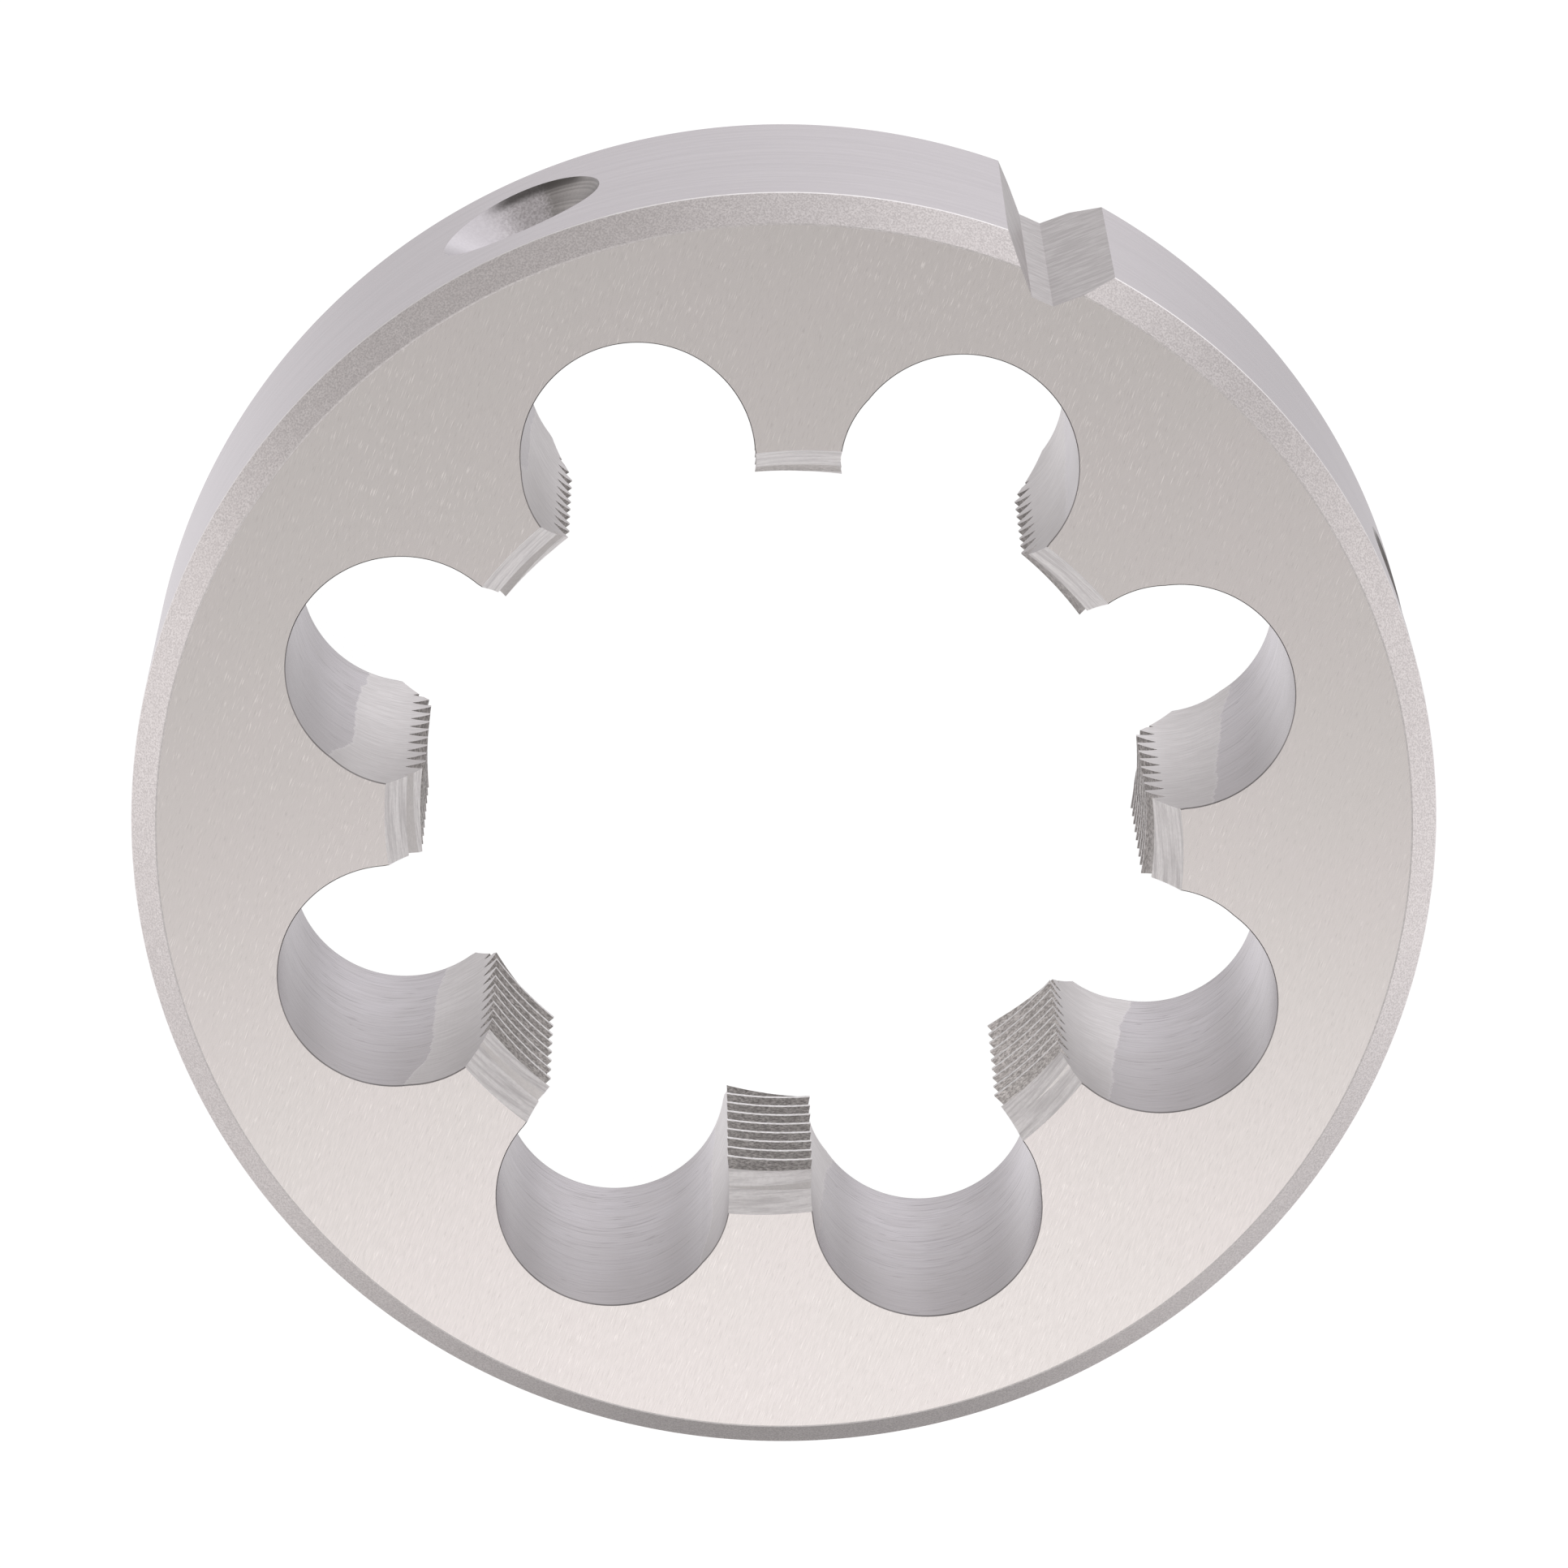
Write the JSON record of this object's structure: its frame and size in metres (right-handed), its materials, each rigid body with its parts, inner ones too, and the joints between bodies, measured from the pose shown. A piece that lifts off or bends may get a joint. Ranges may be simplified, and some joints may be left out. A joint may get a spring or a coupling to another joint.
{
  "type": "round threading die",
  "caption": "Round die that cuts an outside screw thread, with toothed lands between chip holes, tapered leads, a rim notch and screw dimples.",
  "frame": {"origin": "on the thread axis, at the die's back face, which lies on the ground", "axes": "+Z along the thread axis towards the lead side, the face that meets the work first; +Y towards the adjusting notch in the rim"},
  "size_m": [0.065, 0.0649, 0.018],
  "materials": {
    "steel": "ground"
  },
  "bodies": {
    "root": {"round_die": "steel"}
  },
  "joints": []
}
